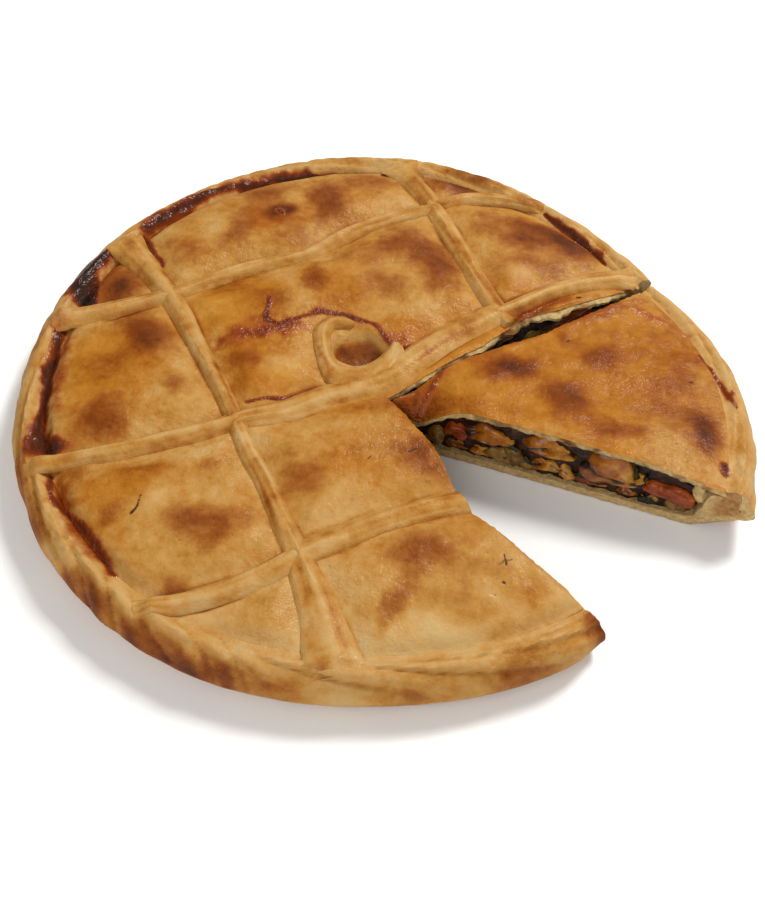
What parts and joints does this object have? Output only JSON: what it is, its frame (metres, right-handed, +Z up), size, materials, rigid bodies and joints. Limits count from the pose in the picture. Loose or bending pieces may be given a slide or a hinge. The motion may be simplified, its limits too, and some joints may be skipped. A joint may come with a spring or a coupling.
{
  "type": "mussel empanada",
  "caption": "Round mussel pie of baked dough with a rolled rim, laid dough strips and a curled vent, one wedge gone and one cut slice lying loose in its place.",
  "frame": {"origin": "middle of the whole pie on its underside, in the plane that it rests on", "axes": "+Z up out of the lid; +X to the right and +Y to the back, as seen from the side where the wedge is missing at the lower right"},
  "size_m": [0.368, 0.3499, 0.04],
  "materials": {
    "baked_crust": null,
    "dough_strip": null,
    "bread_crumb": null,
    "mussel_filling": null
  },
  "bodies": {
    "root": {"pie_base": "bread_crumb", "pie_lid": "baked_crust", "pie_filling": "mussel_filling", "slice_base": "bread_crumb", "slice_lid": "baked_crust", "slice_filling": "mussel_filling", "chimney": "dough_strip", "strip_a": "dough_strip", "strip_b": "dough_strip", "strip_c_left": "dough_strip", "strip_c_middle": "dough_strip", "strip_c_right": "dough_strip", "strip_d_left": "dough_strip", "strip_d_middle": "dough_strip", "strip_d_right": "dough_strip", "strip_e_left": "dough_strip", "strip_e_right": "dough_strip"}
  },
  "joints": []
}
